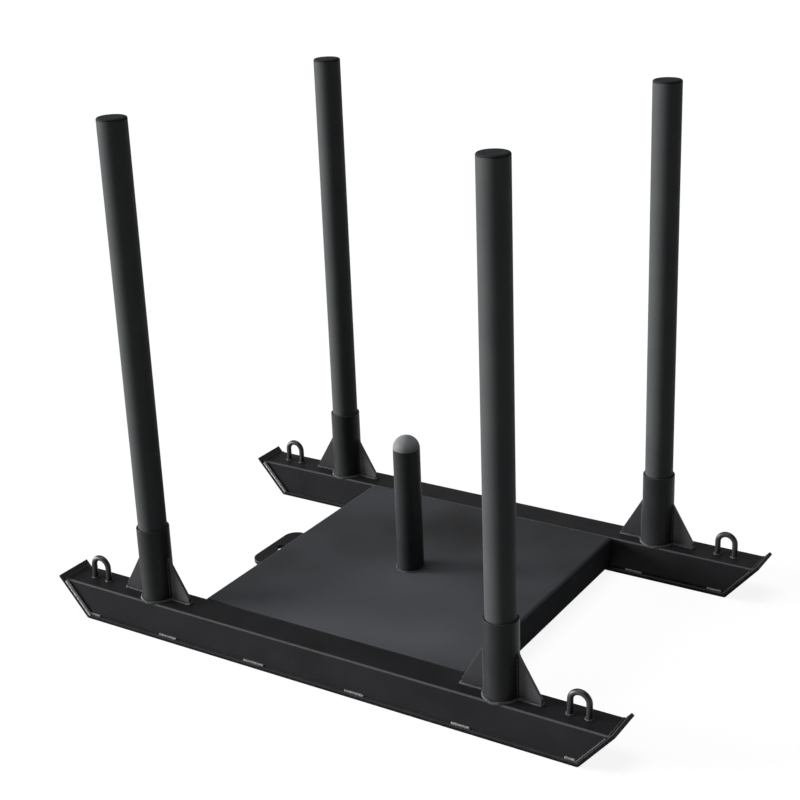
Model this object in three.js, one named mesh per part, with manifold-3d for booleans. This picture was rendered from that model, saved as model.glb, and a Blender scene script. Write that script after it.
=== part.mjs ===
import * as THREE from 'three';
import { mergeVertices } from 'three/addons/utils/BufferGeometryUtils.js';
import Module from 'manifold-3d';

// Drag sled: two runners, a weight tray with a load pin, and four lift-out push posts.
// Millimetres. +X runs along the runners to the rear, +Y to the right runner, +Z up.
// The origin is on the floor under the middle of the sled.

// Runner beams: square steel tube, mitred at both ends
const runnerSpacing = 600;
const beamSize = 60;
const beamWall = 3;
const beamCorner = 5;
const beamTopLength = 1070;
const beamEndRun = 52;

// Skids: flat bar under each beam, bent up over the mitred ends
const skidWidth = 70;
const skidThickness = 6;
const skidInnerBend = 0.8;
const skidTipReach = 10;

// Weight tray: one folded sheet between the beams, with a rib that carries the load pin
const trayLength = 524;
const trayThickness = 5;
const trayInnerBend = 1;
const ribDepth = 40;
const ribThickness = 6;

// Load pin: upright tube with a domed plug, through the tray and down to the rib
const pinDiameter = 48;
const pinWall = 3;
const pinTubeHeight = 230;
const pinForward = 7;
const pinPlugDepth = 15;

// Tow lug: plate with an eye on the front flange of the tray
const lugWidth = 140;
const lugReach = 58;
const lugThickness = 8;
const lugCorner = 25;
const lugRise = 24;
const lugEyeDiameter = 25;
const lugEyeInset = 28;

// Tow loops: bent round bar near each end of both beams
const loopInset = 62;
const loopBar = 10;
const loopSpan = 32;
const loopHeight = 46;

// Push posts: round tube with a plastic end cap, dropped into a socket
const postLoopSpacing = 132;
const postDiameter = 50;
const postWall = 3;
const postLength = 840;
const capThickness = 4;
const capBevel = 1.6;
const capPlugDepth = 14;

// Post sockets and the gussets that brace them
const socketWall = 3;
const socketHeight = 134;
const socketChamfer = 1;
const gussetThickness = 6;
const gussetReach = 41;
const gussetHeight = 80;
const gussetToe = 10;

// Clearances and how finely round shapes are drawn
const weldGap = 0.3;
const plugClearance = 0.3;
const socketClearance = 0.5;
const cutOverrun = 5;
const tubeSides = 48;
const loopSides = 16;
const loopSteps = 28;
const cornerSteps = 5;
const bendSteps = 8;
const domeSteps = 12;

// Levels and lengths that several pieces share
const beamTop = skidThickness + beamSize;
const beamHalfTop = beamTopLength / 2;
const beamHalfBottom = beamHalfTop - beamEndRun;
const endSlope = Math.atan2(beamSize, beamEndRun);
const insideSpan = runnerSpacing - beamSize;
const loopX = beamHalfTop - loopInset;
const postX = loopX - postLoopSpacing;
const socketInnerRadius = postDiameter / 2 + socketClearance;
const socketRadius = socketInnerRadius + socketWall;

const paint = {
  frame: new THREE.MeshStandardMaterial({ color: 0x1c1d1f, roughness: 0.5, metalness: 0.1 }),
  skid: new THREE.MeshStandardMaterial({ color: 0x161718, roughness: 0.45, metalness: 0.2 }),
  tray: new THREE.MeshStandardMaterial({ color: 0x2b2c2e, roughness: 0.65, metalness: 0.1 }),
  post: new THREE.MeshStandardMaterial({ color: 0x1e1f21, roughness: 0.45, metalness: 0.1 }),
  cap: new THREE.MeshStandardMaterial({ color: 0x2a2b2c, roughness: 0.6, metalness: 0.0 }),
};

const wasm = await Module();
wasm.setup();

// A three.js geometry as a solid that can be cut
function toSolid(geometry) {
  const bare = geometry.clone();
  bare.deleteAttribute('normal');
  bare.deleteAttribute('uv');
  const merged = mergeVertices(bare);
  const vertProperties = new Float32Array(merged.attributes.position.array);
  const triVerts = new Uint32Array(merged.index.array);
  return new wasm.Manifold(new wasm.Mesh({ numProp: 3, vertProperties, triVerts }));
}

// A cut solid as a three.js geometry again
function toGeometry(solid) {
  const mesh = solid.getMesh();
  const geometry = new THREE.BufferGeometry();
  geometry.setAttribute('position', new THREE.BufferAttribute(new Float32Array(mesh.vertProperties), 3));
  geometry.setIndex(new THREE.BufferAttribute(new Uint32Array(mesh.triVerts), 1));
  return geometry;
}

// A side profile (x along the sled, y up) given a width across the sled
function acrossSled(shape, width) {
  const geometry = new THREE.ExtrudeGeometry(shape, { depth: width, bevelEnabled: false, curveSegments: bendSteps });
  geometry.rotateX(Math.PI / 2);
  geometry.translate(0, width / 2, 0);
  return geometry;
}

// A cross-section (x across the sled, y up) drawn out along the sled
function alongSled(shape, length) {
  const geometry = new THREE.ExtrudeGeometry(shape, { depth: length, bevelEnabled: false, curveSegments: cornerSteps });
  const across = new THREE.Vector3(0, 1, 0);
  const up = new THREE.Vector3(0, 0, 1);
  const along = new THREE.Vector3(1, 0, 0);
  geometry.applyMatrix4(new THREE.Matrix4().makeBasis(across, up, along));
  geometry.translate(-length / 2, 0, 0);
  return geometry;
}

// A profile of [radius, height] pairs turned about the upright axis
function turned(profile) {
  const points = profile.map(([radius, height]) => new THREE.Vector2(radius, height));
  const geometry = new THREE.LatheGeometry(points, tubeSides);
  geometry.rotateX(Math.PI / 2);
  return geometry;
}

// A square outline with rounded corners, standing on y = base
function roundedSquare(path, size, radius, base) {
  const half = size / 2;
  const top = base + size;
  path.moveTo(radius - half, base);
  path.lineTo(half - radius, base);
  path.absarc(half - radius, base + radius, radius, -Math.PI / 2, 0);
  path.absarc(half - radius, top - radius, radius, 0, Math.PI / 2);
  path.absarc(radius - half, top - radius, radius, Math.PI / 2, Math.PI);
  path.absarc(radius - half, base + radius, radius, Math.PI, Math.PI * 3 / 2);
  return path;
}

function polygon(points) {
  return new THREE.Shape(points.map(([x, y]) => new THREE.Vector2(x, y)));
}

function namedMesh(name, geometry, material) {
  const mesh = new THREE.Mesh(geometry, material);
  mesh.name = name;
  return mesh;
}

// Runner beam: hollow square tube, its ends cut back towards the underside
function beamGeometry() {
  const section = roundedSquare(new THREE.Shape(), beamSize, beamCorner, 0);
  const boreSize = beamSize - 2 * beamWall;
  section.holes.push(roundedSquare(new THREE.Path(), boreSize, beamCorner - beamWall, beamWall));
  const tube = alongSled(section, beamTopLength + 2 * cutOverrun);
  const overrunRun = cutOverrun / Math.tan(endSlope);
  const outline = polygon([
    [-beamHalfBottom + overrunRun, -cutOverrun],
    [beamHalfBottom - overrunRun, -cutOverrun],
    [beamHalfTop + overrunRun, beamSize + cutOverrun],
    [-beamHalfTop - overrunRun, beamSize + cutOverrun],
  ]);
  const mitredBlock = acrossSled(outline, beamSize + 2 * cutOverrun);
  return toGeometry(toSolid(tube).intersect(toSolid(mitredBlock)));
}

// Skid: flat bar whose ends turn up along the mitres and stand past the beam's top
function skidGeometry() {
  const innerCorner = beamHalfBottom + weldGap / Math.sin(endSlope);
  const bendSetback = skidInnerBend * Math.tan(endSlope / 2);
  const bendX = innerCorner - bendSetback;
  const bendY = skidThickness + skidInnerBend;
  const outerBend = skidInnerBend + skidThickness;
  const slopeLength = beamSize / Math.sin(endSlope) + skidTipReach;
  const tipInnerX = innerCorner + slopeLength * Math.cos(endSlope);
  const tipInnerY = skidThickness + slopeLength * Math.sin(endSlope);
  const tipOuterX = tipInnerX + skidThickness * Math.sin(endSlope);
  const tipOuterY = tipInnerY - skidThickness * Math.cos(endSlope);
  const down = -Math.PI / 2;
  const profile = new THREE.Shape();
  profile.moveTo(-bendX, 0);
  profile.lineTo(bendX, 0);
  profile.absarc(bendX, bendY, outerBend, down, down + endSlope);
  profile.lineTo(tipOuterX, tipOuterY);
  profile.lineTo(tipInnerX, tipInnerY);
  profile.absarc(bendX, bendY, skidInnerBend, down + endSlope, down, true);
  profile.absarc(-bendX, bendY, skidInnerBend, down, down - endSlope, true);
  profile.lineTo(-tipInnerX, tipInnerY);
  profile.lineTo(-tipOuterX, tipOuterY);
  profile.absarc(-bendX, bendY, outerBend, down - endSlope, down);
  return acrossSled(profile, skidWidth);
}

// Weight tray: flat top flush with the beams, ends folded down to the beams' underside,
// and a round hole that the load pin passes through
function trayGeometry() {
  const half = trayLength / 2;
  const bendX = half - trayThickness - trayInnerBend;
  const bendY = beamSize - trayThickness - trayInnerBend;
  const outerBend = trayInnerBend + trayThickness;
  const profile = new THREE.Shape();
  profile.moveTo(half, 0);
  profile.absarc(bendX, bendY, outerBend, 0, Math.PI / 2);
  profile.absarc(-bendX, bendY, outerBend, Math.PI / 2, Math.PI);
  profile.lineTo(-half, 0);
  profile.lineTo(trayThickness - half, 0);
  profile.absarc(-bendX, bendY, trayInnerBend, Math.PI, Math.PI / 2, true);
  profile.absarc(bendX, bendY, trayInnerBend, Math.PI / 2, 0, true);
  profile.lineTo(half - trayThickness, 0);
  const sheet = acrossSled(profile, insideSpan - 2 * weldGap);
  const holeRadius = pinDiameter / 2 + weldGap;
  const holeDepth = trayThickness + 2 * cutOverrun;
  const drill = new THREE.CylinderGeometry(holeRadius, holeRadius, holeDepth, tubeSides);
  drill.rotateX(Math.PI / 2);
  drill.translate(-pinForward, 0, beamSize - trayThickness / 2);
  return toGeometry(toSolid(sheet).subtract(toSolid(drill)));
}

// Tow lug: plate with rounded outer corners and an eye, drawn from above
function lugGeometry() {
  const half = lugWidth / 2;
  const plate = new THREE.Shape();
  plate.moveTo(0, -half);
  plate.lineTo(0, half);
  plate.absarc(lugCorner - lugReach, half - lugCorner, lugCorner, Math.PI / 2, Math.PI);
  plate.absarc(lugCorner - lugReach, lugCorner - half, lugCorner, Math.PI, Math.PI * 3 / 2);
  const eye = new THREE.Path();
  eye.absarc(lugEyeInset - lugReach, 0, lugEyeDiameter / 2, 0, Math.PI * 2, true);
  plate.holes.push(eye);
  const options = { depth: lugThickness, bevelEnabled: false, curveSegments: bendSteps * 2 };
  return new THREE.ExtrudeGeometry(plate, options);
}

// Plain tube of a given bore, standing on z = 0, with its rims chamfered outside
function tubeGeometry(outerRadius, innerRadius, height, chamfer) {
  return turned([
    [innerRadius, 0],
    [outerRadius, 0],
    [outerRadius, height - chamfer],
    [outerRadius - chamfer, height],
    [innerRadius, height],
    [innerRadius, 0],
  ]);
}

// Domed plug that closes the load pin: half a ball over a plug that fits the bore
function pinCapGeometry() {
  const radius = pinDiameter / 2;
  const plugRadius = radius - pinWall - plugClearance;
  const profile = [[0, -pinPlugDepth], [plugRadius, -pinPlugDepth], [plugRadius, 0]];
  for (let step = 0; step < domeSteps; step += 1) {
    const angle = (step / domeSteps) * Math.PI / 2;
    profile.push([radius * Math.cos(angle), radius * Math.sin(angle)]);
  }
  profile.push([0, radius]);
  return turned(profile);
}

// Flat plastic cap with a bevelled rim over a plug that fits the post's bore
function postCapGeometry() {
  const radius = postDiameter / 2;
  const plugRadius = radius - postWall - plugClearance;
  return turned([
    [0, -capPlugDepth],
    [plugRadius, -capPlugDepth],
    [plugRadius, 0],
    [radius, 0],
    [radius, capThickness - capBevel],
    [radius - capBevel, capThickness],
    [0, capThickness],
  ]);
}

// Gusset: triangle with a blunt toe, from the socket's wall out along the beam
function gussetGeometry() {
  const root = socketRadius + weldGap;
  const toe = socketRadius + gussetReach;
  const outline = polygon([[root, 0], [toe, 0], [toe, gussetToe], [root, gussetHeight]]);
  return acrossSled(outline, gussetThickness);
}

// Centre line of a tow loop: leg, half circle, leg
class LoopPath extends THREE.Curve {
  getPoint(share, target = new THREE.Vector3()) {
    const radius = loopSpan / 2;
    const leg = loopHeight - loopBar / 2 - radius;
    const arc = Math.PI * radius;
    const travelled = share * (2 * leg + arc);
    if (travelled < leg) {
      return target.set(-radius, 0, travelled);
    }
    if (travelled > leg + arc) {
      return target.set(radius, 0, 2 * leg + arc - travelled);
    }
    const angle = Math.PI - (travelled - leg) / radius;
    return target.set(radius * Math.cos(angle), 0, leg + radius * Math.sin(angle));
  }
}

// Tow loop: round bar swept along its centre line
function loopGeometry() {
  const bar = new THREE.Shape();
  bar.absarc(0, 0, loopBar / 2, 0, Math.PI * 2);
  const options = { steps: loopSteps, extrudePath: new LoopPath(), curveSegments: loopSides / 2 };
  return new THREE.ExtrudeGeometry(bar, options);
}

// One push post in its socket, with both gussets
function postStation(end, side) {
  const station = new THREE.Group();
  const name = `${end}_${side}`;
  const postRadius = postDiameter / 2;
  const socket = tubeGeometry(socketRadius, socketInnerRadius, socketHeight, socketChamfer);
  station.add(namedMesh(`${name}_socket`, socket, paint.frame));
  for (const [facing, turn] of [['rear', 0], ['front', Math.PI]]) {
    const gusset = namedMesh(`${name}_gusset_${facing}`, gussetGeometry(), paint.frame);
    gusset.rotation.z = turn;
    station.add(gusset);
  }
  const tube = tubeGeometry(postRadius, postRadius - postWall, postLength, 0);
  station.add(namedMesh(`${name}_post_tube`, tube, paint.post));
  const cap = namedMesh(`${name}_post_cap`, postCapGeometry(), paint.cap);
  cap.position.z = postLength;
  station.add(cap);
  return station;
}

// One runner: beam, skid, tow loops and post stations
function runner(side, direction) {
  const group = new THREE.Group();
  group.position.y = direction * runnerSpacing / 2;
  const beam = namedMesh(`${side}_runner_beam`, beamGeometry(), paint.frame);
  beam.position.z = skidThickness;
  group.add(beam);
  group.add(namedMesh(`${side}_skid`, skidGeometry(), paint.skid));
  for (const [end, ahead] of [['front', -1], ['rear', 1]]) {
    const loop = namedMesh(`${end}_${side}_tow_loop`, loopGeometry(), paint.frame);
    loop.position.set(ahead * loopX, 0, beamTop);
    group.add(loop);
    const station = postStation(end, side);
    station.position.set(ahead * postX, 0, beamTop);
    group.add(station);
  }
  return group;
}

// The tray with its rib, tow lug and load pin
function trayAssembly() {
  const group = new THREE.Group();
  group.position.z = skidThickness;
  group.add(namedMesh('weight_tray', trayGeometry(), paint.tray));
  const ribSize = [ribThickness, insideSpan - 2 * weldGap, ribDepth];
  const rib = namedMesh('tray_rib', new THREE.BoxGeometry(...ribSize), paint.frame);
  rib.position.set(-pinForward, 0, beamSize - trayThickness - ribDepth / 2);
  group.add(rib);
  const lug = namedMesh('front_tow_lug', lugGeometry(), paint.frame);
  lug.position.set(-trayLength / 2 - weldGap, 0, lugRise);
  group.add(lug);
  const pinRadius = pinDiameter / 2;
  const pinLength = trayThickness + pinTubeHeight;
  const pinTube = tubeGeometry(pinRadius, pinRadius - pinWall, pinLength, 0);
  const pin = namedMesh('load_pin_tube', pinTube, paint.post);
  pin.position.set(-pinForward, 0, beamSize - trayThickness);
  group.add(pin);
  const pinCap = namedMesh('load_pin_cap', pinCapGeometry(), paint.cap);
  pinCap.position.set(-pinForward, 0, beamSize + pinTubeHeight);
  group.add(pinCap);
  return group;
}

const sled = new THREE.Group();
sled.add(runner('left', -1));
sled.add(runner('right', 1));
sled.add(trayAssembly());

export default sled;
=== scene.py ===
import math

import bmesh
import bpy
from mathutils import Matrix, Vector


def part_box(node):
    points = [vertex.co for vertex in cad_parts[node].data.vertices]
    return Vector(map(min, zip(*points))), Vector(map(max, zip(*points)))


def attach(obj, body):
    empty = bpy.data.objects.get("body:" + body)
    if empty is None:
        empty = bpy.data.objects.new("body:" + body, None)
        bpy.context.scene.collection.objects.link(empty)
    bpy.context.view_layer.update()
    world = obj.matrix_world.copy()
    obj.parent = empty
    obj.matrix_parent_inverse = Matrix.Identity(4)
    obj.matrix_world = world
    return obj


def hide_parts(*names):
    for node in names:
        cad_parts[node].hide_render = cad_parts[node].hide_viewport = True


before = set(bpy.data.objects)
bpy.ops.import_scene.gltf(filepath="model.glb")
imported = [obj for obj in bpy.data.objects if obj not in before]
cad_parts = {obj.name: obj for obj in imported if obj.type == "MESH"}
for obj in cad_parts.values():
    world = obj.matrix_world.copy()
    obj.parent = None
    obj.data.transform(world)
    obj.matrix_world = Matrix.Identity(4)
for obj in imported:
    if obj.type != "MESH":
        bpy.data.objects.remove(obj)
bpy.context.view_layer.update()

# The drag sled: two runners, a weight tray with a load pin, and four lift-out push posts.
# Metres. +X runs along the runners to the rear, +Y to the right runner, +Z up.

MM = 0.001
ENDS = {"front": -1, "rear": 1}
SIDES = ("left", "right")
FACES = (-1, 1)

# Sizes that the frame's boxes don't give
BEAM_WALL = 3 * MM
BEAM_CORNER = 4 * MM
BEAM_END_RUN = 52 * MM
TUBE_WALL = 3 * MM
TRAY_SHEET = 5 * MM
PLUG_CLEARANCE = 0.3 * MM
CAP_PLUG_DEPTH = 14 * MM
PIN_PLUG_DEPTH = 15 * MM
LOOP_BAR = 10 * MM

# How far each kind of edge is rounded off, and in how many steps
PLATE_EDGE = 0.9 * MM
SHEET_EDGE = 0.6 * MM
TUBE_SEAM_EDGE = 0.5 * MM
SOCKET_EDGE = 1.2 * MM
CAP_EDGE = 3.4 * MM
PLATE_EDGE_STEPS = 3
# A fold sharper than HARD_FOLD is an edge of a plate, and one flatter than FLAT_FOLD is no edge
HARD_FOLD = math.radians(30)
FLAT_FOLD = math.radians(1)
# A smooth piece keeps a crease where its faces turn by more than this
CREASE = math.radians(35)
# Loose corners of a CAD node closer together than this are one
SAME_POINT = 0.01 * MM

# How finely round shapes are drawn
ROUND_SIDES = 96
FILLET_STEPS = 6
LOOP_SIDES = 24
LOOP_STEPS = 40
DOME_STEPS = 20
RING_STEPS = 48

# Weld beads: the width of each kind
GUSSET_BEAD = 7 * MM
UPRIGHT_BEAD = 5 * MM
SOCKET_BEAD = 7 * MM
LOOP_BEAD = 4 * MM
STITCH_BEAD = 7 * MM
MITRE_BEAD = {"front": 6.5 * MM, "rear": 4 * MM}
BROW_BEAD = 3 * MM
TRAY_BEAD = 4.5 * MM
# The ripples along a bead: pitch, half a ripple's length against the pitch, how much their size
# varies, and how finely each is drawn
RIPPLE_PITCH = 1.6 * MM
RIPPLE_REACH = 1.15
RIPPLE_SPREAD = 0.07
RIPPLE_SIDES = 10
RIPPLE_RINGS = 4
# How far a bead's middle line lies from the wall it is laid against, and inside the stitched face
BEAD_STAND_OFF = 0.6 * MM
STITCH_SET_IN = 1.5 * MM

# Where the skid is stitched to the beam, from and to along the runner in mm, outside and inside
OUTER_STITCHES = ((-483, -461), (-322, -286), (-138, -98), (67, 102), (267, 298), (464, 479))
INNER_STITCHES = ((-300, -268), (-110, -76), (96, 130), (292, 322), (452, 476))

# Finishes: the edges' own tone, wear on some coats and a painted highlight on the frame's corners
# and the sockets' rims, is broken up in patches of EDGE_BREAKUP_PATCH, and handling makes patches
# of
# HANDLED_PATCH glossier or duller by GLOSS_SWING
EDGE_BREAKUP_PATCH = 4 * MM
HANDLED_PATCH = 25 * MM
GLOSS_SWING = (-0.05, 0.06)
# A noise texture's values mostly lie between these
NOISE_SPAN = (0.3, 0.7)
# How far in from an edge the eased normal reaches
EDGE_REACH = 1.5 * MM
# What edge_share measures, where a face ends and where the edge is full
EDGE_SPANS = {"eased": (0.97, 0.75), "corner": (0.98, 0.86), "side": (0.6, 0.9)}

# The photograph's camera: place in metres, angles in radians, lens and film width in mm
CAMERA_PLACE = (1.3634, -2.1554, 1.3687)
CAMERA_YAW = -0.56971
CAMERA_PITCH = -0.35617
CAMERA_ROLL = -0.03949
CAMERA_LENS = 71.26
CAMERA_FILM = 36
CAMERA_SHIFT = (0.0015, -0.0215)
CAMERA_FARTHEST = 2000

# Light: two broad lamps, each with its direction, strength and spread in degrees, and a dim room
LAMPS = (
    ("overhead_lamp", (-0.20, -0.12, 0.97), 1.8, 40),
    ("side_lamp", (-0.89, -0.44, 0.10), 9.0, 28),
)
ROOM_STRENGTH = 0.07
# Where the backdrop ends for reflections, as the height of a direction: from 11 to 20 degrees up
BACKDROP_TOP = (0.19, 0.34)
FLOOR_SIZE = 600.0
# The floor lies a hair under the skids, so that the two don't share a plane
FLOOR_DROP = 0.2 * MM
# How much of the floor's white is its own, so that shadows on it stay faint, and its strength
FLOOR_GLOW = 0.85
FLOOR_WHITE = 1.08
# The size of the floor's faint clouds, in metres
FLOOR_CLOUD = 0.8


def linear(hex_colour):
    """An sRGB hex colour as linear RGBA."""
    parts = [int(hex_colour[at:at + 2], 16) / 255 for at in (1, 3, 5)]
    light = [part / 12.92 if part <= 0.04045 else ((part + 0.055) / 1.055) ** 2.4 for part in parts]
    return (*light, 1.0)


def add_node(tree, kind, inputs=None, **settings):
    """Adds a node with its settings. Each input gets a value, or the output that feeds it."""
    node = tree.nodes.new(kind)
    for name, value in settings.items():
        setattr(node, name, value)
    for key, value in (inputs or {}).items():
        if isinstance(value, bpy.types.NodeSocket):
            tree.links.new(value, node.inputs[key])
        else:
            node.inputs[key].default_value = value
    return node


def new_finish(name):
    """An empty material, its node tree and the place on the object in metres."""
    material = bpy.data.materials.new(name)
    material.use_nodes = True
    tree = material.node_tree
    tree.nodes.clear()
    place = add_node(tree, "ShaderNodeTexCoord").outputs["Object"]
    return material, tree, place


def edge_share(tree, edges):
    """Which share of a place is edge. eased: where the rounded normal leaves the face's own.
    corner: where a square tube's face looks between two axes. side: where a flat bar's face looks
    across the sled."""
    normal = add_node(tree, "ShaderNodeNewGeometry").outputs["Normal"]
    if edges == "eased":
        eased = add_node(tree, "ShaderNodeBevel", {"Radius": EDGE_REACH}, samples=4)
        measure = add_node(
            tree, "ShaderNodeVectorMath", {0: eased.outputs["Normal"], 1: normal},
            operation="DOT_PRODUCT",
        ).outputs["Value"]
    else:
        sizes = add_node(tree, "ShaderNodeVectorMath", {0: normal}, operation="ABSOLUTE")
        parts = add_node(tree, "ShaderNodeSeparateXYZ", {"Vector": sizes.outputs["Vector"]}).outputs
        measure = parts["Y"]
        # On square tube, the pale line that this finds carries a painted highlight
        if edges == "corner":
            level = add_node(
                tree, "ShaderNodeMath", {0: parts["X"], 1: parts["Y"]}, operation="MAXIMUM",
            )
            measure = add_node(
                tree, "ShaderNodeMath", {0: level.outputs[0], 1: parts["Z"]}, operation="MAXIMUM",
            ).outputs[0]
    start, full = EDGE_SPANS[edges]
    share = add_node(
        tree, "ShaderNodeMapRange", {"Value": measure, "From Min": start, "From Max": full},
    )
    return share.outputs["Result"]


def plastic_skin(
    name, colours, roughness, specular, clouds, waves, edges="eased", clouds_from=(0, 0, 0),
):
    """A baked powder coat or a moulded plastic: cloudy in tone and gloss, faintly wavy, with edges
    of their own tone, worn on some coats and a painted highlight on others. colours are its
    deepest, its palest and its edges' tone, clouds the size of its cloudy patches, and waves the
    distance between its waves and their depth."""
    deep, pale, edge = [linear(colour) for colour in colours]
    wave_pitch, wave_depth = waves
    usual_low, usual_high = NOISE_SPAN
    material, tree, place = new_finish(name)
    moved = add_node(
        tree, "ShaderNodeMapping", {"Vector": place, "Location": clouds_from},
    ).outputs["Vector"]
    cloud = add_node(
        tree, "ShaderNodeTexNoise",
        {"Vector": moved, "Scale": 1 / clouds, "Detail": 3.0, "Roughness": 0.4},
    ).outputs["Fac"]
    tone = add_node(
        tree, "ShaderNodeMapRange", {"Value": cloud, "From Min": usual_low, "From Max": usual_high},
    ).outputs["Result"]
    film = add_node(
        tree, "ShaderNodeMix", {"Factor": tone, "A": deep, "B": pale}, data_type="RGBA",
    ).outputs["Result"]
    edge_breakup = add_node(
        tree, "ShaderNodeTexNoise", {"Vector": place, "Scale": 1 / EDGE_BREAKUP_PATCH, "Detail": 3.0},
    ).outputs["Fac"]
    if edges != "eased":
        # The painted highlight lines on the beams' corners, and the black narrow sides of the
        # skids, are nearly unbroken
        edge_breakup = add_node(
            tree, "ShaderNodeMath", {0: edge_breakup, 1: 2.0}, operation="MULTIPLY", use_clamp=True,
        ).outputs[0]
    # The edge tone is wear on some coats, and a painted highlight on the frame's corners and the
    # sockets' rims
    edge_tone_share = add_node(
        tree, "ShaderNodeMath", {0: edge_share(tree, edges), 1: edge_breakup}, operation="MULTIPLY",
    ).outputs["Value"]
    colour = add_node(
        tree, "ShaderNodeMix", {"Factor": edge_tone_share, "A": film, "B": edge}, data_type="RGBA",
    ).outputs["Result"]
    handling = add_node(
        tree, "ShaderNodeTexNoise", {"Vector": place, "Scale": 1 / HANDLED_PATCH, "Detail": 5.0},
    ).outputs["Fac"]
    gloss = add_node(
        tree, "ShaderNodeMapRange",
        {"Value": handling, "From Min": usual_low, "From Max": usual_high,
         "To Min": roughness + GLOSS_SWING[0], "To Max": roughness + GLOSS_SWING[1]},
    ).outputs["Result"]
    wave = add_node(
        tree, "ShaderNodeTexNoise", {"Vector": place, "Scale": 1 / wave_pitch, "Detail": 2.0},
    ).outputs["Fac"]
    skin = add_node(
        tree, "ShaderNodeBump", {"Height": wave, "Distance": wave_depth},
    ).outputs["Normal"]
    shader = add_node(
        tree, "ShaderNodeBsdfPrincipled",
        {"Base Color": colour, "Roughness": gloss, "Specular IOR Level": specular, "Normal": skin},
    )
    add_node(tree, "ShaderNodeOutputMaterial", {"Surface": shader.outputs["BSDF"]})
    return material


# Powder coat is sprayed on as dust and baked to a film, and its surface keeps waves called orange
# peel, 1.8 mm apart. Real ones are a few thousandths of a millimetre deep, so they are drawn
# deeper, or the gloss wouldn't show them.
PEEL = (1.8 * MM, 0.03 * MM)
FAINT_PEEL = (1.8 * MM, 0.025 * MM)
THIN_PEEL = (1.8 * MM, 0.02 * MM)

# On square tube: near black with a soft sheen, and pale along the rounded corners, where a painted
# highlight stands for the light that each corner catches, so that each shows as a pale line
FRAME_COAT = plastic_skin(
    "semi-gloss_black_powder_coat_with_painted_corner_highlights", ("#1b1b1d", "#212123", "#444445"), 0.42, 0.06,
    60 * MM, PEEL, edges="corner",
)
# On the skids' flat bar: scuffed grey on the faces that rub the ground, black on its narrow sides
SKID_COAT = plastic_skin(
    "scuffed_black_powder_coat", ("#303132", "#383939", "#0f0f10"), 0.5, 0.04,
    40 * MM, PEEL, edges="side",
)
# On the gussets, cut from plate: satin, and pale along the cut edges. The front ones carry painted
# shade and the rear ones painted light, two copies of one coat, so the front ones look darker.
GUSSET_SHADED_AND_LIT_COATS = {
    "front": plastic_skin(
        "powder_coat_with_painted_shade_on_front_gussets", ("#29292b", "#303032", "#565658"), 0.45, 0.2,
        40 * MM, PEEL,
    ),
    "rear": plastic_skin(
        "powder_coat_with_painted_light_on_rear_gussets", ("#464648", "#525254", "#646466"), 0.45, 0.2,
        40 * MM, PEEL,
    ),
}
# On the tow loops' round bar: glossy, with a light streak on each bend
LOOP_COAT = plastic_skin(
    "gloss_powder_coat_on_round_bar", ("#232325", "#2a2a2c", "#4a4a4b"), 0.4, 0.35,
    40 * MM, THIN_PEEL,
)
# On the sockets' cut tube: satin black, pale on the rims, partly rubbed by the posts and partly a
# painted highlight
SOCKET_COAT = plastic_skin(
    "powder_coat_on_socket_tube", ("#232425", "#292a2b", "#8a8a8b"), 0.45, 0.1,
    60 * MM, PEEL,
)
# On the tray: fine-texture powder, baked rough like fine sandpaper, so it has no sheen, and grey
# clouds, set where the tray shows lighter and darker, so that they hold painted light and painted
# shade as well as its own uneven tone. Its real grain is about 0.3 mm, too fine to show, so it is
# drawn three times as coarse. The clouds lie where the photograph shows them.
TRAY_COAT = plastic_skin(
    "fine_texture_powder_coat", ("#2b2b2b", "#4c4e52", "#4e4f52"), 0.8, 0.015,
    330 * MM, (0.9 * MM, 0.06 * MM), clouds_from=(3.45, -2.52, 1.81),
)
# On the push posts: satin, painted grey as a painted sheen, with broad soft light along the tube
POST_COAT = plastic_skin(
    "satin_black_powder_coat_with_painted_sheen", ("#424445", "#474949", "#515253"), 0.55, 0.05,
    60 * MM, FAINT_PEEL,
)
# On the load pin: rubbed smooth by the plates' bores, so a little glossier, and without the posts'
# painted sheen, so darker than the posts
PIN_COAT = plastic_skin(
    "rubbed_black_powder_coat", ("#242527", "#2b2c2d", "#343536"), 0.5, 0.1,
    40 * MM, PEEL,
)
# Post caps, moulded polyethylene: dull and waxy, with a spark-eroded grain of about 0.2 mm, drawn
# three times as coarse to show
CAP_PLASTIC = plastic_skin(
    "moulded_black_polyethylene", ("#26272a", "#2c2d2f", "#3a3b3b"), 0.75, 0.04,
    30 * MM, (0.7 * MM, 0.03 * MM),
)
# The load pin's domed plug, moulded polyethylene too: pale grey, with shallow dents about 2 mm
# apart, where plates are dropped over it
DOME_PLASTIC = plastic_skin(
    "pale_grey_moulded_polyethylene", ("#68696a", "#7b7c7d", "#88898a"), 0.6, 0.15,
    25 * MM, (1.8 * MM, 0.03 * MM),
)
# Over fillet welds: the film flows thin over the ripples, so they are glossier and paler
BEAD_COAT = plastic_skin(
    "powder_coat_over_fillet_weld", ("#343436", "#424244", "#505052"), 0.4, 0.25,
    20 * MM, THIN_PEEL,
)
# Over the ground mitre welds at the front: light grey, partly steel shining through a thin coat and
# partly a painted highlight for light that the skid's bent-up end shades off them
MITRE_HIGHLIGHT_COAT = plastic_skin(
    "ground_weld_coat_with_painted_highlight", ("#8a8a8b", "#9c9c9d", "#a8a8a9"), 0.35, 0.5,
    20 * MM, THIN_PEEL,
)
# Over the stitch welds along the skids: scraped thin to mid grey, partly pale steel and partly
# painted glints
STITCH_COAT = plastic_skin(
    "thin_powder_coat_over_stitch_weld_with_painted_glints", ("#606062", "#747476", "#868688"), 0.3, 0.5,
    20 * MM, THIN_PEEL,
)


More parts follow.
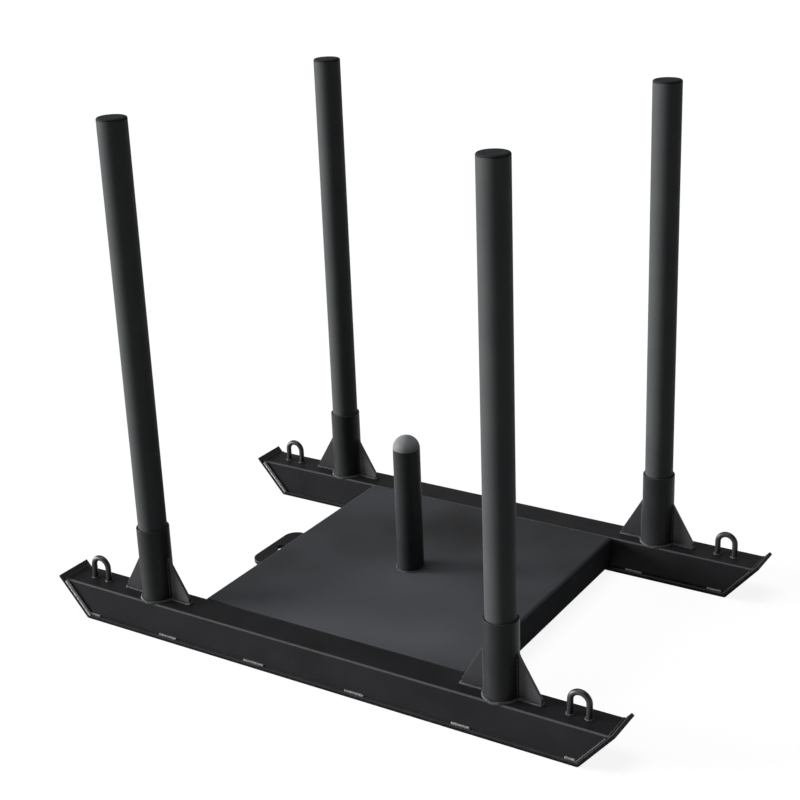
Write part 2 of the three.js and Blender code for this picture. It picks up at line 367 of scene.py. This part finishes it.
def smooth_piece(name, shape, body, finish, slot, *stands_for):
    """Makes a shaded piece of a finished bmesh, ties it to its body, and hides the nodes it stands
    for.
    slot is not used."""
    bmesh.ops.recalc_face_normals(shape, faces=shape.faces)
    mesh = bpy.data.meshes.new(name)
    shape.to_mesh(mesh)
    shape.free()
    mesh.shade_smooth()
    mesh.set_sharp_from_angle(angle=CREASE)
    mesh.materials.append(finish)
    piece = bpy.data.objects.new(name, mesh)
    bpy.context.scene.collection.objects.link(piece)
    even = piece.modifiers.new("even faces", "WEIGHTED_NORMAL")
    even.keep_sharp = True
    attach(piece, body)
    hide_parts(*stands_for)


def middle(low, high):
    """The middle of a box, along and across the sled."""
    return (low.x + high.x) / 2, (low.y + high.y) / 2


def rounded(outline):
    """A closed outline of (x, y, corner radius) as points, its corners drawn as arcs."""
    points = []
    for at, (x, y, radius) in enumerate(outline):
        corner = Vector((x, y))
        if not radius:
            points.append(corner)
            continue
        back = (Vector(outline[at - 1][:2]) - corner).normalized()
        ahead = (Vector(outline[(at + 1) % len(outline)][:2]) - corner).normalized()
        half = back.angle(ahead) / 2
        centre = corner + (back + ahead).normalized() * (radius / math.sin(half))
        start = corner + back * (radius / math.tan(half)) - centre
        end = corner + ahead * (radius / math.tan(half)) - centre
        sweep = start.angle_signed(end)
        for step in range(FILLET_STEPS + 1):
            points.append(centre + Matrix.Rotation(-sweep * step / FILLET_STEPS, 2) @ start)
    return points


def turned(outline, centre_x, centre_y):
    """A closed solid turned about an upright axis, from (radius, height, corner radius)."""
    shape = bmesh.new()
    turns = [2 * math.pi * side / ROUND_SIDES for side in range(ROUND_SIDES)]
    rings = []
    for radius, height in rounded(outline):
        if radius < SAME_POINT:
            rings.append([shape.verts.new((centre_x, centre_y, height))] * ROUND_SIDES)
            continue
        rings.append([
            shape.verts.new((
                centre_x + radius * math.cos(turn), centre_y + radius * math.sin(turn), height,
            ))
            for turn in turns
        ])
    for ring, following in zip(rings, rings[1:] + rings[:1]):
        for side in range(ROUND_SIDES):
            corners = (ring[side], ring[side - 1], following[side - 1], following[side])
            # Round the axis, corners fall together
            corners = list(dict.fromkeys(corners))
            if len(corners) > 2:
                shape.faces.new(corners)
    return shape


def tube_outline(radius, low, high, edge):
    """Half the section of an upright tube, its rims eased by edge outside and half that inside."""
    inner = radius - TUBE_WALL
    return [
        (inner, low, edge / 2), (radius, low, edge), (radius, high, edge), (inner, high, edge / 2),
    ]


def plate_copy(node, edge):
    """A CAD node's shape, its loose triangles merged, flat faces joined and edges eased."""
    shape = bmesh.new()
    shape.from_mesh(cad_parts[node].data)
    bmesh.ops.remove_doubles(shape, verts=shape.verts, dist=SAME_POINT)
    bmesh.ops.dissolve_limit(shape, angle_limit=FLAT_FOLD, verts=shape.verts, edges=shape.edges)
    bmesh.ops.recalc_face_normals(shape, faces=shape.faces)
    hard = [fold for fold in shape.edges if fold.is_manifold and fold.calc_face_angle() > HARD_FOLD]
    bmesh.ops.bevel(
        shape, geom=hard, offset=edge, segments=PLATE_EDGE_STEPS, profile=0.5, affect="EDGES",
    )
    return shape


def runner_beam(side):
    """Square tube with rounded corners, its ends cut back towards the underside."""
    low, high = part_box(f"{side}_runner_beam")
    size = high.z - low.z
    half_low = high.x - BEAM_END_RUN
    shape = bmesh.new()
    loops = []
    for wall in (0, BEAM_WALL):
        corner = BEAM_CORNER - wall
        section = rounded([
            (low.y + wall, low.z + wall, corner), (high.y - wall, low.z + wall, corner),
            (high.y - wall, high.z - wall, corner), (low.y + wall, high.z - wall, corner),
        ])
        for ahead in ENDS.values():
            loops.append([
                shape.verts.new((ahead * (half_low + BEAM_END_RUN * (z - low.z) / size), y, z))
                for y, z in section
            ])
    outer_front, outer_rear, inner_front, inner_rear = loops
    for loop, following in (
        (outer_front, outer_rear), (outer_rear, inner_rear),
        (inner_rear, inner_front), (inner_front, outer_front),
    ):
        for at in range(len(loop)):
            shape.faces.new((loop[at - 1], loop[at], following[at], following[at - 1]))
    return shape


def tow_loop(node):
    """Round bar bent up in a half circle over two legs."""
    low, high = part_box(node)
    middle_x, middle_y = middle(low, high)
    bend = (high.x - low.x - LOOP_BAR) / 2
    spring = high.z - LOOP_BAR / 2 - bend
    path = [(middle_x - bend, low.z, 0.0)]
    for step in range(LOOP_STEPS + 1):
        turn = math.pi * step / LOOP_STEPS
        path.append((middle_x - bend * math.cos(turn), spring + bend * math.sin(turn), turn))
    path.append((middle_x + bend, low.z, math.pi))
    shape = bmesh.new()
    rings = []
    for x, z, turn in path:
        ring = []
        for side in range(LOOP_SIDES):
            angle = 2 * math.pi * side / LOOP_SIDES
            outward = LOOP_BAR / 2 * math.cos(angle)
            across = LOOP_BAR / 2 * math.sin(angle)
            ring.append(shape.verts.new((
                x - outward * math.cos(turn), middle_y + across, z + outward * math.sin(turn),
            )))
        rings.append(ring)
    for ring, following in zip(rings, rings[1:]):
        for side in range(LOOP_SIDES):
            shape.faces.new((ring[side - 1], ring[side], following[side], following[side - 1]))
    shape.faces.new(rings[0])
    shape.faces.new(rings[-1])
    return shape


def load_pin_dome(radius, seat):
    """Half the section of the load pin's plug and the dome over it, seat being the tube's top."""
    plug = radius - TUBE_WALL - PLUG_CLEARANCE
    foot = seat - PIN_PLUG_DEPTH
    turns = [math.pi / 2 * step / DOME_STEPS for step in range(1, DOME_STEPS)]
    dome = [(radius * math.cos(turn), seat + radius * math.sin(turn), 0) for turn in turns]
    return [
        (0, foot, 0), (plug, foot, TUBE_SEAM_EDGE), (plug, seat, 0),
        (radius, seat, TUBE_SEAM_EDGE), *dome, (0, seat + radius, 0),
    ]


def post_cap(radius, seat, top):
    """Half the section of a post's cap and the plug under it, seat being the tube's top."""
    plug = radius - TUBE_WALL - PLUG_CLEARANCE
    foot = seat - CAP_PLUG_DEPTH
    return [
        (0, foot, 0), (plug, foot, TUBE_SEAM_EDGE), (plug, seat, 0),
        (radius, seat, TUBE_SEAM_EDGE), (radius, top, CAP_EDGE), (0, top, 0),
    ]


def weld_tree():
    """Geometry Nodes: lines become weld beads, rows of overlapping ripples at a set pitch."""
    tree = bpy.data.node_groups.new("weld bead", "GeometryNodeTree")
    sockets = tree.interface
    sockets.new_socket("Lines", in_out="INPUT", socket_type="NodeSocketGeometry")
    for name in ("Bead Width", "Ripple Pitch", "Unevenness"):
        sockets.new_socket(name, in_out="INPUT", socket_type="NodeSocketFloat")
    sockets.new_socket("Seed", in_out="INPUT", socket_type="NodeSocketInt")
    sockets.new_socket("Finish", in_out="INPUT", socket_type="NodeSocketMaterial")
    sockets.new_socket("Beads", in_out="OUTPUT", socket_type="NodeSocketGeometry")
    given = add_node(tree, "NodeGroupInput").outputs
    curve = add_node(tree, "GeometryNodeMeshToCurve", {"Mesh": given["Lines"]})
    spots = add_node(
        tree, "GeometryNodeResampleCurve",
        {"Curve": curve.outputs["Curve"], "Length": given["Ripple Pitch"]}, mode="LENGTH",
    )
    along = add_node(tree, "GeometryNodeInputTangent")
    facing = add_node(
        tree, "FunctionNodeAlignRotationToVector", {"Vector": along.outputs["Tangent"]}, axis="Z",
    )
    # A ripple is a blob as wide as the bead, flattened along it to a little over a pitch each way
    blob = add_node(
        tree, "GeometryNodeMeshUVSphere",
        {"Segments": RIPPLE_SIDES, "Rings": RIPPLE_RINGS, "Radius": 1.0},
    )
    half = add_node(
        tree, "ShaderNodeMath", {0: given["Bead Width"], 1: 0.5}, operation="MULTIPLY",
    ).outputs[0]
    length = add_node(
        tree, "ShaderNodeMath", {0: given["Ripple Pitch"], 1: RIPPLE_REACH}, operation="MULTIPLY",
    ).outputs[0]
    size = add_node(tree, "ShaderNodeCombineXYZ", {"X": half, "Y": half, "Z": length})
    ripple = add_node(
        tree, "GeometryNodeTransform",
        {"Geometry": blob.outputs["Mesh"], "Scale": size.outputs["Vector"]},
    )
    least = add_node(
        tree, "ShaderNodeMath", {0: 1.0, 1: given["Unevenness"]}, operation="SUBTRACT",
    ).outputs[0]
    most = add_node(
        tree, "ShaderNodeMath", {0: 1.0, 1: given["Unevenness"]}, operation="ADD",
    ).outputs[0]
    spread = add_node(
        tree, "FunctionNodeRandomValue", {"Min": least, "Max": most, "Seed": given["Seed"]},
        data_type="FLOAT",
    )
    row = add_node(
        tree, "GeometryNodeInstanceOnPoints",
        {"Points": spots.outputs["Curve"], "Instance": ripple.outputs["Geometry"],
         "Rotation": facing.outputs["Rotation"], "Scale": spread.outputs[1]},
    )
    real = add_node(
        tree, "GeometryNodeRealizeInstances", {"Geometry": row.outputs["Instances"]},
    )
    smooth = add_node(tree, "GeometryNodeSetShadeSmooth", {0: real.outputs["Geometry"]})
    coated = add_node(
        tree, "GeometryNodeSetMaterial",
        {"Geometry": smooth.outputs[0], "Material": given["Finish"]},
    )
    add_node(tree, "NodeGroupOutput", {"Beads": coated.outputs["Geometry"]})
    return tree


WELD_TREE = weld_tree()


def weld(name, lines, width, seed, finish):
    """Weld beads along lines of points, as one plain mesh on the sled's frame."""
    guide = bpy.data.meshes.new(f"{name}_lines")
    points, edges = [], []
    for line in lines:
        edges += [(len(points) + at, len(points) + at + 1) for at in range(len(line) - 1)]
        points += line
    guide.from_pydata(points, edges, [])
    maker = bpy.data.objects.new(f"{name}_maker", guide)
    bpy.context.scene.collection.objects.link(maker)
    beads = maker.modifiers.new("beads", "NODES")
    beads.node_group = WELD_TREE
    values = {
        "Bead Width": width, "Ripple Pitch": RIPPLE_PITCH, "Unevenness": RIPPLE_SPREAD,
        "Seed": seed, "Finish": finish,
    }
    for item in WELD_TREE.interface.items_tree:
        if item.name in values:
            beads[item.identifier] = values[item.name]
    ready = maker.evaluated_get(bpy.context.evaluated_depsgraph_get())
    mesh = bpy.data.meshes.new_from_object(ready)
    mesh.name = name
    bpy.data.objects.remove(maker)
    piece = bpy.data.objects.new(name, mesh)
    bpy.context.scene.collection.objects.link(piece)
    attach(piece, "sled_frame")


def stitch_lines(low, high):
    """Short seams low on both faces of a beam, where it stands on its skid."""
    _, beam_y = middle(low, high)
    outward = 1 if beam_y > 0 else -1
    depth = (high.y - low.y) / 2 - STITCH_SET_IN
    z = low.z + STITCH_SET_IN
    lines = []
    for spans, face in ((OUTER_STITCHES, outward), (INNER_STITCHES, -outward)):
        y = beam_y + face * depth
        lines += [[(start * MM, y, z), (end * MM, y, z)] for start, end in spans]
    return lines


def mitre_lines(low, high, end):
    """The two sloping seams at one end of a beam, a third of a bead proud of its faces."""
    _, beam_y = middle(low, high)
    depth = (high.y - low.y) / 2 + MITRE_BEAD[end] / 3
    slope = BEAM_END_RUN / (high.z - low.z)
    top = high.x - 2 * BEAD_STAND_OFF
    return [
        [
            (ENDS[end] * (top - slope * (high.z - z)), beam_y + face * depth, z)
            for z in (low.z, high.z - BEAM_CORNER)
        ]
        for face in FACES
    ]


def brow_line(low, high, end):
    """The seam across the top of a beam's end, where the bent-up skid meets it."""
    _, beam_y = middle(low, high)
    depth = (high.y - low.y) / 2 - BEAM_CORNER
    x = ENDS[end] * (high.x - 2 * BEAD_STAND_OFF)
    return [(x, beam_y + face * depth, high.z) for face in FACES]


def ring_line(centre_x, centre_y, radius, top, half_width=math.inf):
    """A closed ring of points on a flat top, or on the top of a beam of this half width, where it
    follows the rounded corners down."""
    line = []
    for step in range(RING_STEPS + 1):
        turn = 2 * math.pi * step / RING_STEPS
        y = radius * math.sin(turn)
        past = max(0.0, abs(y) - half_width + BEAM_CORNER)
        drop = BEAM_CORNER - math.sqrt(max(0.0, BEAM_CORNER ** 2 - past ** 2))
        line.append((centre_x + radius * math.cos(turn), centre_y + y, top - drop))
    return line


def gusset_lines(node, away, wall, beam_y, base):
    """The seam round a gusset's foot and the two up its corners with the socket. away is the side
    of the socket it stands on, and wall how far along the sled the socket's outside lies."""
    low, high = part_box(node)
    depth = (high.y - low.y) / 2 + BEAD_STAND_OFF
    root = wall + away * GUSSET_BEAD / 2
    toe = (high.x if away > 0 else low.x) + away * BEAD_STAND_OFF
    foot = [
        (root, beam_y - depth, base), (toe, beam_y - depth, base),
        (toe, beam_y + depth, base), (root, beam_y + depth, base),
    ]
    corner = wall + away * BEAD_STAND_OFF
    uprights = [
        [(corner, beam_y + face * depth, z) for z in (base, high.z - GUSSET_BEAD)]
        for face in FACES
    ]
    return foot, uprights


# Runner beams and skids
for side in SIDES:
    smooth_piece(
        f"{side}_square_tube", runner_beam(side),
        "sled_frame", FRAME_COAT, "frame_powder_coat", f"{side}_runner_beam",
    )
    smooth_piece(
        f"{side}_skid_bar", plate_copy(f"{side}_skid", PLATE_EDGE),
        "sled_frame", SKID_COAT, "skid_steel", f"{side}_skid",
    )

# Weight tray, its rib and the tow lug
smooth_piece(
    "folded_tray", plate_copy("weight_tray", SHEET_EDGE),
    "sled_frame", TRAY_COAT, "tray_powder_coat", "weight_tray",
)
smooth_piece(
    "rib_under_tray", plate_copy("tray_rib", PLATE_EDGE),
    "sled_frame", FRAME_COAT, "frame_powder_coat", "tray_rib",
)
smooth_piece(
    "tow_lug_plate", plate_copy("front_tow_lug", PLATE_EDGE),
    "sled_frame", FRAME_COAT, "frame_powder_coat", "front_tow_lug",
)

# Load pin: tube and domed plug
pin_low, pin_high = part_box("load_pin_tube")
pin_x, pin_y = middle(pin_low, pin_high)
pin_radius = (pin_high.x - pin_low.x) / 2
smooth_piece(
    "load_pin_pipe",
    turned(tube_outline(pin_radius, pin_low.z, pin_high.z, TUBE_SEAM_EDGE), pin_x, pin_y),
    "sled_frame", PIN_COAT, "post_powder_coat", "load_pin_tube",
)
smooth_piece(
    "load_pin_dome", turned(load_pin_dome(pin_radius, pin_high.z), pin_x, pin_y),
    "sled_frame", DOME_PLASTIC, "cap_plastic", "load_pin_cap",
)

# Tow loops, sockets and gussets, then the lift-out posts
for end in ENDS:
    for side in SIDES:
        name = f"{end}_{side}"
        smooth_piece(
            f"{name}_bent_loop", tow_loop(f"{name}_tow_loop"),
            "sled_frame", LOOP_COAT, "frame_powder_coat", f"{name}_tow_loop",
        )
        low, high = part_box(f"{name}_socket")
        x, y = middle(low, high)
        outline = tube_outline((high.x - low.x) / 2, low.z, high.z, SOCKET_EDGE)
        smooth_piece(
            f"{name}_socket_tube", turned(outline, x, y),
            "sled_frame", SOCKET_COAT, "frame_powder_coat", f"{name}_socket",
        )
        for facing in ENDS:
            gusset = f"{name}_gusset_{facing}"
            smooth_piece(
                f"{name}_{facing}_brace", plate_copy(gusset, PLATE_EDGE),
                "sled_frame", GUSSET_SHADED_AND_LIT_COATS[facing], "frame_powder_coat", gusset,
            )
        low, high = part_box(f"{name}_post_tube")
        post_radius = (high.x - low.x) / 2
        outline = tube_outline(post_radius, low.z, high.z, TUBE_SEAM_EDGE)
        smooth_piece(
            f"{name}_post_pipe", turned(outline, x, y),
            f"{name}_post", POST_COAT, "post_powder_coat", f"{name}_post_tube",
        )
        _, cap_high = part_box(f"{name}_post_cap")
        smooth_piece(
            f"{name}_post_plug", turned(post_cap(post_radius, high.z, cap_high.z), x, y),
            f"{name}_post", CAP_PLASTIC, "cap_plastic", f"{name}_post_cap",
        )

# Weld beads of each runner, each kind with a seed of its own: stitches and mitres at the skid,
# then loop feet, sockets and gussets on the beam's top
for side in SIDES:
    low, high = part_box(f"{side}_runner_beam")
    _, beam_y = middle(low, high)
    half_width = (high.y - low.y) / 2
    weld(f"{side}_skid_welds", stitch_lines(low, high), STITCH_BEAD, 11, STITCH_COAT)
    for end in ENDS:
        # The rear mitres show no bright steel and carry no painted highlight, so they are as dark
        # as the sockets
        finish = MITRE_HIGHLIGHT_COAT if end == "front" else SOCKET_COAT
        weld(f"{end}_{side}_mitre_welds", mitre_lines(low, high, end), MITRE_BEAD[end], 12, finish)
    brows = [brow_line(low, high, end) for end in ENDS]
    weld(f"{side}_brow_welds", brows, BROW_BEAD, 17, FRAME_COAT)

    feet, rings, gussets, uprights = [], [], [], []
    for end in ENDS:
        loop_low, loop_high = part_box(f"{end}_{side}_tow_loop")
        foot_ring = LOOP_BAR / 2 + BEAD_STAND_OFF
        for foot_x in (loop_low.x + LOOP_BAR / 2, loop_high.x - LOOP_BAR / 2):
            feet.append(ring_line(foot_x, beam_y, foot_ring, high.z, half_width))
        socket_low, socket_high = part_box(f"{end}_{side}_socket")
        socket_x, _ = middle(socket_low, socket_high)
        radius = (socket_high.x - socket_low.x) / 2
        rings.append(ring_line(socket_x, beam_y, radius + BEAD_STAND_OFF, high.z, half_width))
        for facing, away in ENDS.items():
            foot, corners = gusset_lines(
                f"{end}_{side}_gusset_{facing}", away, socket_x + away * radius,
                beam_y, high.z + BEAD_STAND_OFF,
            )
            gussets.append(foot)
            uprights += corners
    weld(f"{side}_loop_welds", feet, LOOP_BEAD, 13, BEAD_COAT)
    weld(f"{side}_socket_welds", rings, SOCKET_BEAD, 14, BEAD_COAT)
    weld(f"{side}_gusset_welds", gussets, GUSSET_BEAD, 15, BEAD_COAT)
    weld(f"{side}_upright_welds", uprights, UPRIGHT_BEAD, 18, SOCKET_COAT)

# Weld beads of the tray: round the load pin, along both sides from below, and over and under the
# tow lug
low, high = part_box("weight_tray")
seams = [ring_line(pin_x, pin_y, pin_radius + BEAD_STAND_OFF, high.z)]
under = high.z - TRAY_SHEET - TRAY_BEAD / 4
for face_y in (low.y, high.y):
    seams.append([(low.x + TRAY_SHEET, face_y, under), (high.x - TRAY_SHEET, face_y, under)])
lug_low, lug_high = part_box("front_tow_lug")
for z in (lug_low.z, lug_high.z):
    seams.append([(low.x, lug_low.y + TRAY_BEAD, z), (low.x, lug_high.y - TRAY_BEAD, z)])
weld("tray_welds", seams, TRAY_BEAD, 16, TRAY_COAT)


def backdrop_paper():
    """Matt white paper, its tone a little uneven. What is seen of it, straight or in a reflection,
    is white, and the light that it throws back is that of a grey studio floor."""
    paper, tree, place = new_finish("backdrop_paper")
    cloud = add_node(
        tree, "ShaderNodeTexNoise", {"Vector": place, "Scale": 1 / FLOOR_CLOUD},
    ).outputs["Fac"]
    white = add_node(
        tree, "ShaderNodeMix", {"Factor": cloud, "A": linear("#fbfbfb"), "B": linear("#fdfdfd")},
        data_type="RGBA",
    ).outputs["Result"]
    ray = add_node(tree, "ShaderNodeLightPath").outputs
    mirrored = add_node(
        tree, "ShaderNodeMath", {0: ray["Is Glossy Ray"], 1: ray["Is Transmission Ray"]},
        operation="ADD",
    ).outputs[0]
    seen = add_node(
        tree, "ShaderNodeMath", {0: ray["Is Camera Ray"], 1: mirrored},
        operation="ADD", use_clamp=True,
    ).outputs[0]
    bounce = add_node(
        tree, "ShaderNodeMix", {"Factor": seen, "A": linear("#828282"), "B": white},
        data_type="RGBA",
    ).outputs["Result"]
    matt = add_node(tree, "ShaderNodeBsdfDiffuse", {"Color": bounce}).outputs["BSDF"]
    glow = add_node(
        tree, "ShaderNodeEmission", {"Color": white, "Strength": FLOOR_WHITE},
    ).outputs["Emission"]
    own_white = add_node(
        tree, "ShaderNodeMath", {0: seen, 1: FLOOR_GLOW}, operation="MULTIPLY",
    ).outputs[0]
    cover = add_node(
        tree, "ShaderNodeMixShader", {0: own_white, 1: matt, 2: glow},
    ).outputs["Shader"]
    # From below, the paper is clear, so that the sled's underside can be looked at
    clear = add_node(tree, "ShaderNodeBsdfTransparent").outputs["BSDF"]
    from_below = add_node(tree, "ShaderNodeNewGeometry").outputs["Backfacing"]
    one_sided = add_node(tree, "ShaderNodeMixShader", {0: from_below, 1: cover, 2: clear})
    add_node(tree, "ShaderNodeOutputMaterial", {"Surface": one_sided.outputs["Shader"]})
    return paper


def lay_floor():
    """The backdrop paper under the sled."""
    sheet = bpy.data.meshes.new("studio_floor")
    reach = FLOOR_SIZE / 2
    corners = [(x * reach, y * reach, -FLOOR_DROP) for x, y in ((-1, -1), (1, -1), (1, 1), (-1, 1))]
    sheet.from_pydata(corners, [], [(0, 1, 2, 3)])
    sheet.materials.append(backdrop_paper())
    floor = bpy.data.objects.new("studio_floor", sheet)
    bpy.context.scene.collection.objects.link(floor)


def place_camera():
    """The photograph's camera."""
    forward = Vector((
        math.sin(CAMERA_YAW) * math.cos(CAMERA_PITCH),
        math.cos(CAMERA_YAW) * math.cos(CAMERA_PITCH),
        math.sin(CAMERA_PITCH),
    ))
    level = Vector((math.cos(CAMERA_YAW), -math.sin(CAMERA_YAW), 0))
    upright = level.cross(forward)
    right = level * math.cos(CAMERA_ROLL) + upright * math.sin(CAMERA_ROLL)
    up = upright * math.cos(CAMERA_ROLL) - level * math.sin(CAMERA_ROLL)
    lens = bpy.data.cameras.new("photo_camera")
    lens.sensor_width = CAMERA_FILM
    lens.lens = CAMERA_LENS
    lens.shift_x, lens.shift_y = CAMERA_SHIFT
    lens.clip_end = CAMERA_FARTHEST
    camera = bpy.data.objects.new("photo_camera", lens)
    turn = Matrix((right, up, -forward)).transposed().to_4x4()
    camera.matrix_world = Matrix.Translation(CAMERA_PLACE) @ turn
    bpy.context.scene.collection.objects.link(camera)
    bpy.context.scene.camera = camera


def hang_lamps():
    """The two broad lamps."""
    for name, direction, strength, spread in LAMPS:
        light = bpy.data.lights.new(name, "SUN")
        light.energy = strength
        light.angle = math.radians(spread)
        lamp = bpy.data.objects.new(name, light)
        lamp.rotation_euler = Vector(direction).to_track_quat("Z", "Y").to_euler()
        bpy.context.scene.collection.objects.link(lamp)


def studio_room():
    """White backdrop paper stands round the sled: straight views see it wherever there is no
    floor, and reflections see it up to its top, with the dim room above. What lights the sled from
    there is the dim room alone."""
    room = bpy.data.worlds.new("studio_room")
    room.use_nodes = True
    tree = room.node_tree
    tree.nodes.clear()
    direction = add_node(tree, "ShaderNodeTexCoord").outputs["Generated"]
    height = add_node(tree, "ShaderNodeSeparateXYZ", {"Vector": direction}).outputs["Z"]
    backdrop = add_node(
        tree, "ShaderNodeMapRange",
        {"Value": height, "From Min": BACKDROP_TOP[0], "From Max": BACKDROP_TOP[1],
         "To Min": 1.0, "To Max": ROOM_STRENGTH},
    ).outputs["Result"]
    ray = add_node(tree, "ShaderNodeLightPath").outputs
    mirrored = add_node(
        tree, "ShaderNodeMix", {"Factor": ray["Is Glossy Ray"], "A": ROOM_STRENGTH, "B": backdrop},
    ).outputs[0]
    straight = add_node(
        tree, "ShaderNodeMath", {0: ray["Is Camera Ray"], 1: ray["Is Transmission Ray"]},
        operation="ADD", use_clamp=True,
    ).outputs[0]
    strength = add_node(
        tree, "ShaderNodeMix", {"Factor": straight, "A": mirrored, "B": 1.0},
    ).outputs[0]
    sky = add_node(tree, "ShaderNodeBackground", {"Color": (1, 1, 1, 1), "Strength": strength})
    add_node(tree, "ShaderNodeOutputWorld", {"Surface": sky.outputs["Background"]})
    return room


lay_floor()
place_camera()
hang_lamps()
bpy.context.scene.world = studio_room()
bpy.context.scene.view_settings.view_transform = "Standard"
